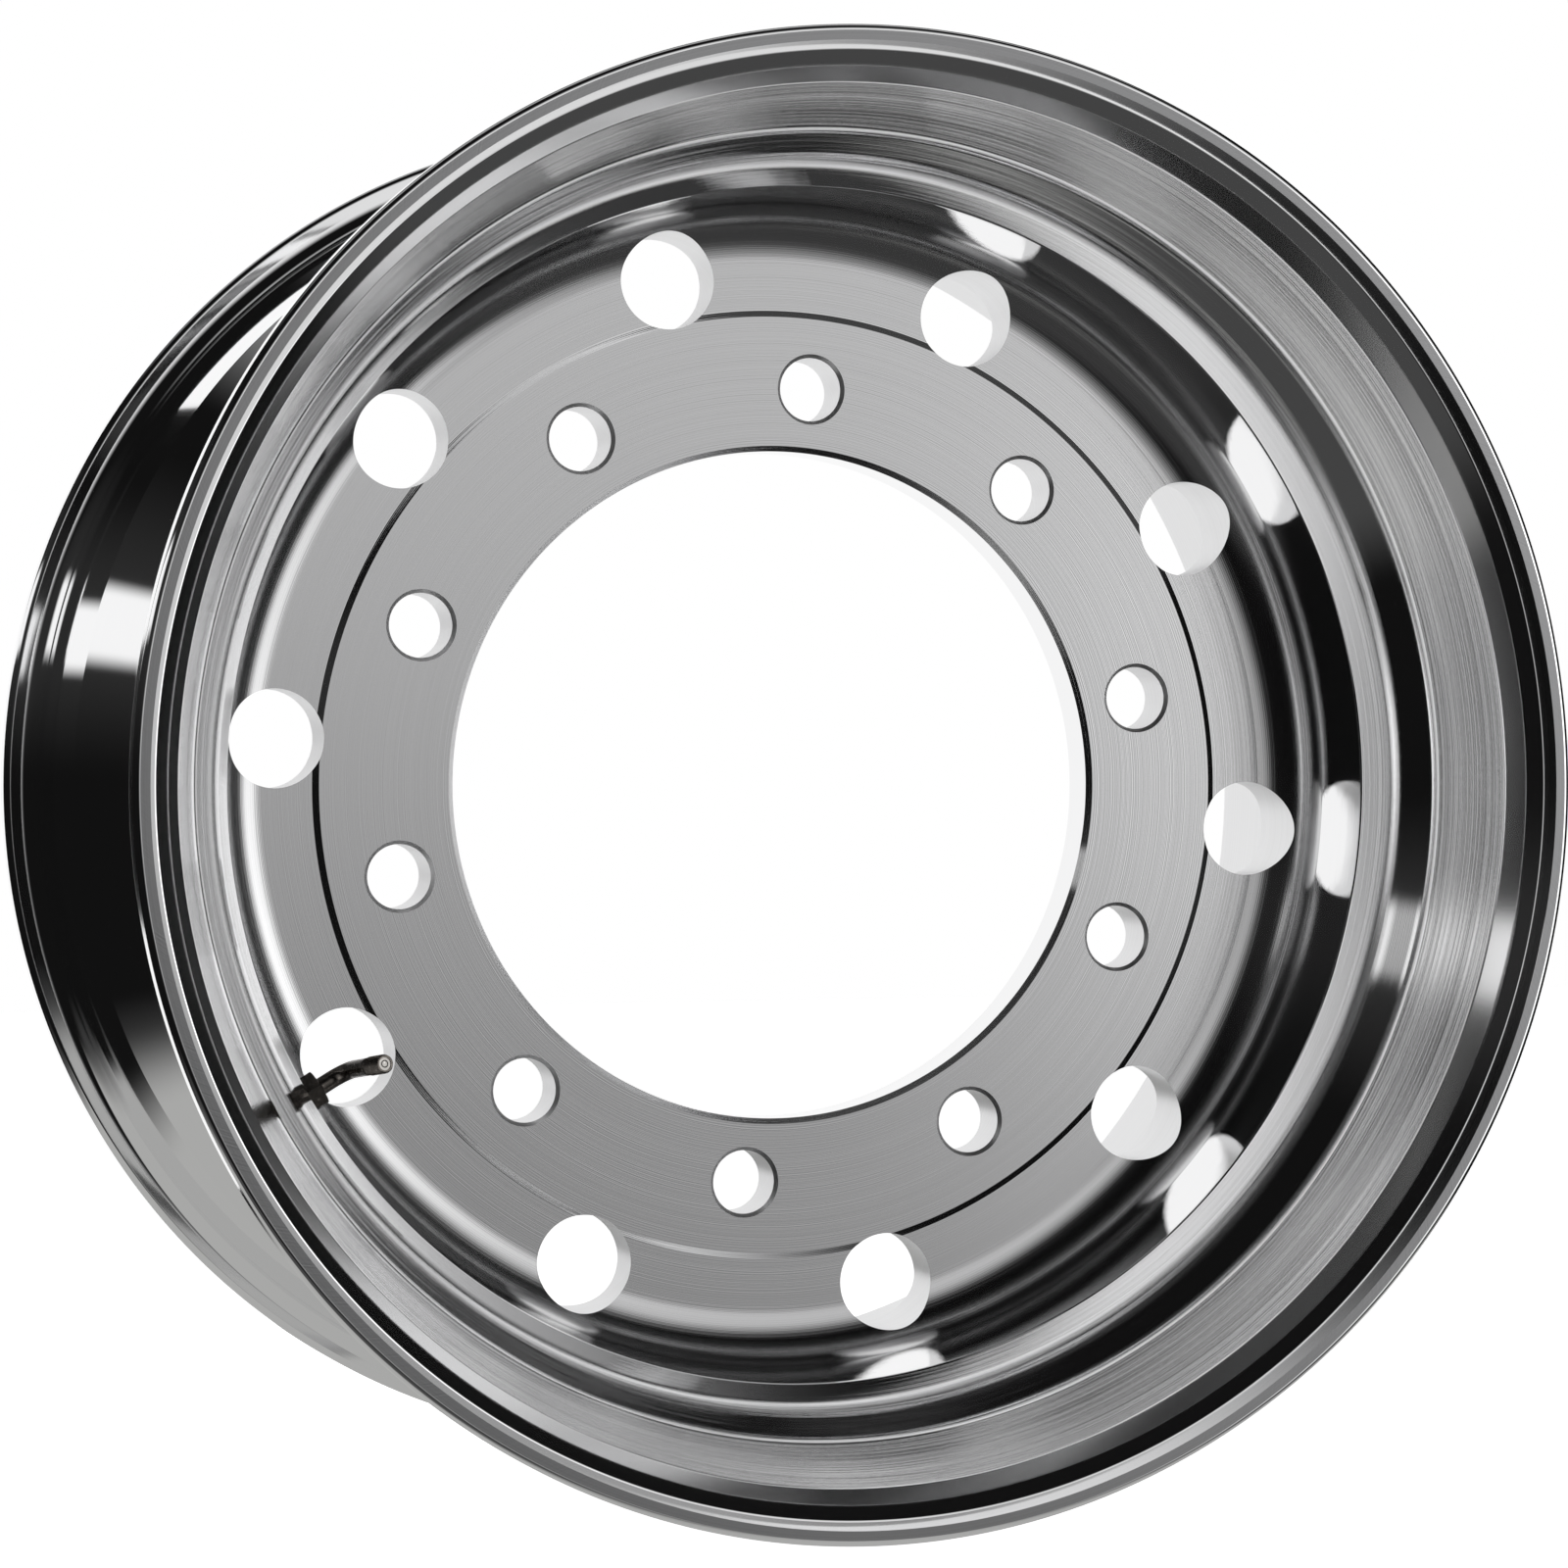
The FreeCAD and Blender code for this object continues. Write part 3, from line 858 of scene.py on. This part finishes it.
# Stations along the stem's middle line, from the top of its head
shank_end = valve_seat_inside - WASHER_THICKNESS - NUT_HEIGHT - SHANK_PROUD
head_top = valve_seat_outside + SEAL_THICKNESS + HEAD_THICKNESS
bend_start = head_top - shank_end + STEM_LEAD
bend_length = STEM_BEND * math.radians(STEM_BEND_ANGLE)
mouth = bend_start + bend_length + SPOUT_LENGTH


def stem_rows():
    """Rings of the stem's skin: place along the middle line, radius, and whether it is threaded."""
    rows = [(0.0, AIR_BORE, False), (0.0, HEAD - HEAD_ROUND, False)]
    for i in range(1, HEAD_STEPS + 1):
        a = math.pi / 2 * i / HEAD_STEPS
        rows.append((HEAD_ROUND * (1 - math.cos(a)), HEAD - HEAD_ROUND * (1 - math.sin(a)), False))
    rows += [
        (HEAD_THICKNESS, HEAD, False),
        (HEAD_THICKNESS, SHANK, False),
        (bend_start - STEM_LEAD - SHANK_CHAMFER, SHANK, False),
        (bend_start - STEM_LEAD, STEM, False),
    ]
    turns = round(STEM_BEND_ANGLE / BEND_STEP)
    around_bend = [bend_start + bend_length * i / turns for i in range(turns + 1)]
    rows += [(s, STEM, False) for s in around_bend]
    relief_end = mouth - MOUTH_LENGTH
    relief_start = relief_end - RELIEF_LENGTH
    rows += [
        (relief_start - (STEM - RELIEF), STEM, False),
        (relief_start, RELIEF, False),
        (relief_end, RELIEF, False),
    ]
    thread_start = relief_end + (MOUTH - RELIEF)
    thread_end = mouth - MOUTH_CHAMFER
    count = round((thread_end - thread_start) / THREAD_PITCH * THREAD_STEPS)
    for i in range(count + 1):
        rows.append((thread_start + (thread_end - thread_start) * i / count, MOUTH, True))
    taper_start = mouth - CORE_BORE_LENGTH
    chamber_start = taper_start - CORE_TAPER
    chamber_end = chamber_start - CHAMBER_LENGTH
    rows += [
        (mouth, MOUTH - MOUTH_CHAMFER, False),
        (mouth, CORE_BORE, False),
        (taper_start, CORE_BORE, False),
        (chamber_start, CHAMBER, False),
        (chamber_end, CHAMBER, False),
        (chamber_end - (CHAMBER - AIR_BORE), AIR_BORE, False),
    ]
    rows += [(s, AIR_BORE, False) for s in reversed(around_bend)]
    return rows


def stem_place(s):
    """Point on the stem's middle line at a distance from its head, and the two directions across it."""
    a = math.radians(VALVE_ANGLE)
    radial = Vector((math.cos(a), 0, math.sin(a)))
    across = Vector((-math.sin(a), 0, math.cos(a)))
    axial = Vector((0, 1, 0))
    turn = min(max(s - bend_start, 0.0), bend_length) / STEM_BEND
    past = max(s - bend_start - bend_length, 0.0)
    inwards = min(s, bend_start) + STEM_BEND * math.sin(turn) + past * math.cos(turn)
    sideways = STEM_BEND * (math.cos(turn) - 1) - past * math.sin(turn)
    middle = radial * (head_top - inwards) + axial * (sideways - VALVE_SETBACK)
    return middle, axial * math.cos(turn) - radial * math.sin(turn), across


def spin(share):
    """Cosine and sine at a share of a full turn."""
    a = 2 * math.pi * share
    return math.cos(a), math.sin(a)


def ring_faces(here, there, steps):
    """Quads between two rings of points."""
    faces = []
    for i in range(steps):
        j = (i + 1) % steps
        faces.append((here + i, here + j, there + j, there + i))
    return faces


def smooth_mesh(name, points, faces):
    """Mesh with its normals outwards, smooth but for its sharp edges."""
    made = bpy.data.meshes.new(name)
    made.from_pydata(points, [], faces)
    shape = bmesh.new()
    shape.from_mesh(made)
    bmesh.ops.recalc_face_normals(shape, faces=shape.faces)
    shape.to_mesh(made)
    shape.free()
    made.shade_smooth()
    made.set_sharp_from_angle(angle=math.radians(SHARP_ANGLE))
    return made


def stem_mesh():
    """Bent stem swept along its middle line, with the thread cut into the land at its mouth."""
    rows = stem_rows()
    points = []
    for s, radius, threaded in rows:
        middle, side, across = stem_place(s)
        for i in range(STEM_STEPS):
            r = radius
            if threaded:
                phase = (s / THREAD_PITCH + i / STEM_STEPS) % 1.0
                r -= THREAD_DEPTH * (1 - abs(2 * phase - 1))
            cosine, sine = spin(i / STEM_STEPS)
            points.append((middle + (side * cosine + across * sine) * r) * MM)
    faces = []
    for k in range(len(rows)):
        faces += ring_faces(k * STEM_STEPS, (k + 1) % len(rows) * STEM_STEPS, STEM_STEPS)
    return smooth_mesh("threaded_stem", points, faces)


def coil_mesh():
    """Core spring wound between the pin's collar and the barrel's floor, with its axis and its foot."""
    along = (stem_place(mouth)[0] - stem_place(mouth - 1.0)[0]).normalized()
    rise = BARREL_FLOOR - COLLAR_END - SPRING_WIRE
    points = []
    steps = SPRING_TURNS * COIL_STEPS
    for k in range(steps + 1):
        middle, side, across = stem_place(mouth - COLLAR_END - SPRING_WIRE / 2 - rise * k / steps)
        cosine, sine = spin(k / COIL_STEPS)
        outwards = side * cosine + across * sine
        for i in range(WIRE_STEPS):
            cosine, sine = spin(i / WIRE_STEPS)
            wire = (outwards * cosine + along * sine) * (SPRING_WIRE / 2)
            points.append((middle + outwards * SPRING_MEAN + wire) * MM)
    faces = [tuple(range(WIRE_STEPS)), tuple(range(steps * WIRE_STEPS, (steps + 1) * WIRE_STEPS))]
    for k in range(steps):
        faces += ring_faces(k * WIRE_STEPS, (k + 1) * WIRE_STEPS, WIRE_STEPS)
    foot = stem_place(mouth - BARREL_FLOOR)[0] * MM
    return smooth_mesh("coil_spring", points, faces), along, foot


# Wheel
wheel_runs = section_runs(wheel_section())
wheel_data = wheel_mesh(wheel_runs, polished)
lay_finishes(wheel_data, wheel_runs, set_turned_normals(wheel_data, wheel_runs))
wheel = place_object("polished_wheel", wheel_data)
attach(wheel, "wheel_body")
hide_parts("wheel")

# Valve stem
stem_data = stem_mesh()
stem_data.materials.append(valve_plate)
stem = place_object("threaded_stem", stem_data)
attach(stem, "wheel_body")
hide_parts("valve_stem")

# Core spring
spring_data, spring_axis, spring_foot = coil_mesh()
spring_data.materials.append(spring_wire)
spring = place_object("coil_spring", spring_data)
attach(spring, "wheel_body")
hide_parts("core_spring")
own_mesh(spring)

# Finishes of the pieces that keep the solid model's own shape
node_finish = {
    "valve_nut": valve_plate,
    "valve_washer": valve_plate,
    "valve_seal": seal_rubber,
    "core_plug": core_plate,
    "core_barrel": core_plate,
    "core_gasket": seal_rubber,
    "core_pin": core_plate,
    "core_cup": seal_rubber,
}
for node, finish in node_finish.items():
    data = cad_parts[node].data
    data.materials.clear()
    data.materials.append(finish)

# Round soft lights, in degrees to the right of the front and above level, brighter above than below
FRONT_LIGHT = {"turn": 27.0, "rise": 8.0, "inner": 16.0, "outer": 44.0}
FRONT_LEVEL = 0.56
FRONT_BELOW = 0.62
FRONT_GAIN = 0.76
FRONT_GRADE = (-0.14, 0.14)
KEY_LIGHT = {"turn": 42.0, "rise": 0.0, "inner": 8.0, "outer": 24.0}
KEY_LEVEL = 1.0

# Light overhead, a long strip with a faint glow on the dark left side, and the ground far away
OVERHEAD_LEVEL = 0.35
OVERHEAD_RISE = (0.68, 0.88)
OVERHEAD_FRONT = (-0.04, 0.16)
LEFT_LEAST = 1e-4
STRIP_LEVEL = 0.95
STRIP_FRONT = (-0.6, -0.2)
STRIP_BACK = (3.0, 2.2)
STRIP_FOOT = (0.24, 0.29)
STRIP_TOP = (0.47, 0.42)
GLOW_LEVEL = 0.02
GLOW_FOOT = (0.0, 0.3)
GLOW_TOP = (0.9, 0.4)
GROUND_LEVEL = 0.055
GROUND_EDGE = (-0.40, -0.55)
DARK_LEVEL = 0.006

# Floor with a pale sheet under the wheel, and a white card behind it, in metres
WHITE = (1, 1, 1, 1)
FLOOR_PLANE = -FLANGE_RADIUS * MM
FLOOR_HALF = 4.0
FLOOR_GLOW = 0.9
FLOOR_TINT = (0.9, 0.9, 0.9, 1)
SHEET_LEVEL = 0.42
SHEET_BLUE = 0.98
SHEET_SIDE = (0.62, 0.42)
SHEET_FRONT = (-0.24, -0.16)
SHEET_BACK = (0.50, 0.34)
CARD_LEVEL = 1.0
CARD_PLACE = 0.5
CARD_LEFT = -0.40
CARD_RIGHT = 0.45
CARD_TOP = 0.65

# Camera
CAMERA_TURN = -18.2
CAMERA_RISE = 0.1
CAMERA_DISTANCE = 1.935
CAMERA_AIM = (0.010, 0.0, 0.00035)
CAMERA_LENS = 104.4
SENSOR = 36.0


def heading(turn, rise):
    """Direction at an angle to the right of the front, and above level."""
    a = math.radians(turn)
    b = math.radians(rise)
    return Vector((math.sin(a) * math.cos(b), -math.cos(a) * math.cos(b), math.sin(b)))


def studio_world():
    """Dark studio with soft lights, which the camera itself sees as plain white."""
    world = bpy.data.worlds.new("studio")
    bpy.context.scene.world = world
    world.use_nodes = True
    world.cycles.sampling_method = "NONE"
    graph = Graph(world.node_tree)
    x, y, z = graph.split(graph.add("ShaderNodeTexCoord", output="Generated"))

    def soft_round(turn, rise, inner, outer):
        aim = heading(turn, rise)
        lean = x * aim[0] + y * aim[1] + z * aim[2]
        return graph.fade(lean.math("ARCCOSINE") * (180 / math.pi), outer, inner)

    front = soft_round(**FRONT_LIGHT) * FRONT_LEVEL
    front = front * (FRONT_BELOW + FRONT_GAIN * graph.fade(z, *FRONT_GRADE))
    key = soft_round(**KEY_LIGHT) * KEY_LEVEL
    overhead = graph.fade(z, *OVERHEAD_RISE) * graph.fade(y, *OVERHEAD_FRONT) * OVERHEAD_LEVEL
    left = (-x).math("MAXIMUM", LEFT_LEAST)
    along = y / left
    up = z / left
    strip = graph.fade(along, *STRIP_FRONT) * graph.fade(along, *STRIP_BACK)
    strip = strip * graph.fade(up, *STRIP_FOOT) * graph.fade(up, *STRIP_TOP) * STRIP_LEVEL
    glow = graph.fade(up, *GLOW_TOP) * graph.fade(up, *GLOW_FOOT) * GLOW_LEVEL
    ground = graph.fade(z, *GROUND_EDGE) * GROUND_LEVEL
    light = front + key + overhead + strip + glow + ground + DARK_LEVEL
    seen = graph.add("ShaderNodeLightPath", output="Is Camera Ray")
    level = light.math("MAXIMUM", seen)
    background = world.node_tree.nodes["Background"]
    graph.feed(background.inputs["Color"], graph.join(level, level, level))
    graph.feed(background.inputs["Strength"], 1.0)


def stage_sheet(name, corners):
    """Flat sheet with an empty material, and the material's graph."""
    data = bpy.data.meshes.new(name)
    data.from_pydata(corners, [], [(0, 1, 2, 3)])
    made = bpy.data.materials.new(name)
    made.cycles.emission_sampling = "NONE"
    made.use_nodes = True
    made.node_tree.nodes.clear()
    data.materials.append(made)
    return place_object(name, data), Graph(made.node_tree)


def show(graph, to_others, to_camera):
    """Ends a sheet's material, which looks different in the wheel's polish and to the camera."""
    seen = graph.add("ShaderNodeLightPath", output="Is Camera Ray")
    mixed = graph.add("ShaderNodeMixShader", {0: seen, 1: to_others, 2: to_camera})
    graph.end("ShaderNodeOutputMaterial", "Surface", mixed)


def studio_floor():
    """White floor that takes the wheel's shadow, with a pale sheet that shows in the wheel's polish."""
    square = [(-1, -1), (1, -1), (1, 1), (-1, 1)]
    corners = [(across * FLOOR_HALF, back * FLOOR_HALF, FLOOR_PLANE) for across, back in square]
    floor, graph = stage_sheet("floor", corners)
    x, y = graph.split(graph.add("ShaderNodeTexCoord", output="Object"))[:2]
    sheet = graph.fade(x.math("ABSOLUTE"), *SHEET_SIDE)
    sheet = sheet * graph.fade(y, *SHEET_FRONT) * graph.fade(y, *SHEET_BACK)
    pale = sheet * SHEET_LEVEL
    lit = graph.add("ShaderNodeEmission", {"Color": graph.join(pale, pale, pale * SHEET_BLUE)})
    clear = graph.add("ShaderNodeBsdfTransparent")
    reflected = graph.add("ShaderNodeMixShader", {0: sheet, 1: clear, 2: lit})
    white = graph.add("ShaderNodeEmission", {"Color": WHITE, "Strength": FLOOR_GLOW})
    matt = graph.add("ShaderNodeBsdfDiffuse", {"Color": FLOOR_TINT})
    show(graph, reflected, graph.add("ShaderNodeAddShader", {0: white, 1: matt}))


def back_card():
    """White card behind the wheel, seen in its polish but not by the camera itself."""
    card, graph = stage_sheet("back_card", [
        (CARD_LEFT, CARD_PLACE, FLOOR_PLANE), (CARD_RIGHT, CARD_PLACE, FLOOR_PLANE),
        (CARD_RIGHT, CARD_PLACE, CARD_TOP), (CARD_LEFT, CARD_PLACE, CARD_TOP)])
    white = graph.add("ShaderNodeEmission", {"Color": WHITE, "Strength": CARD_LEVEL})
    show(graph, white, graph.add("ShaderNodeBsdfTransparent"))


def photo_camera():
    """Camera that sees the wheel as the photo does."""
    data = bpy.data.cameras.new("photo_camera")
    data.sensor_width = SENSOR
    data.lens = CAMERA_LENS
    camera = place_object("photo_camera", data)
    camera.location = heading(CAMERA_TURN, CAMERA_RISE) * CAMERA_DISTANCE
    ahead = Vector(CAMERA_AIM) - camera.location
    camera.rotation_euler = ahead.to_track_quat("-Z", "Y").to_euler()
    bpy.context.scene.camera = camera


studio_world()
studio_floor()
back_card()
photo_camera()
bpy.context.scene.view_settings.view_transform = "Standard"
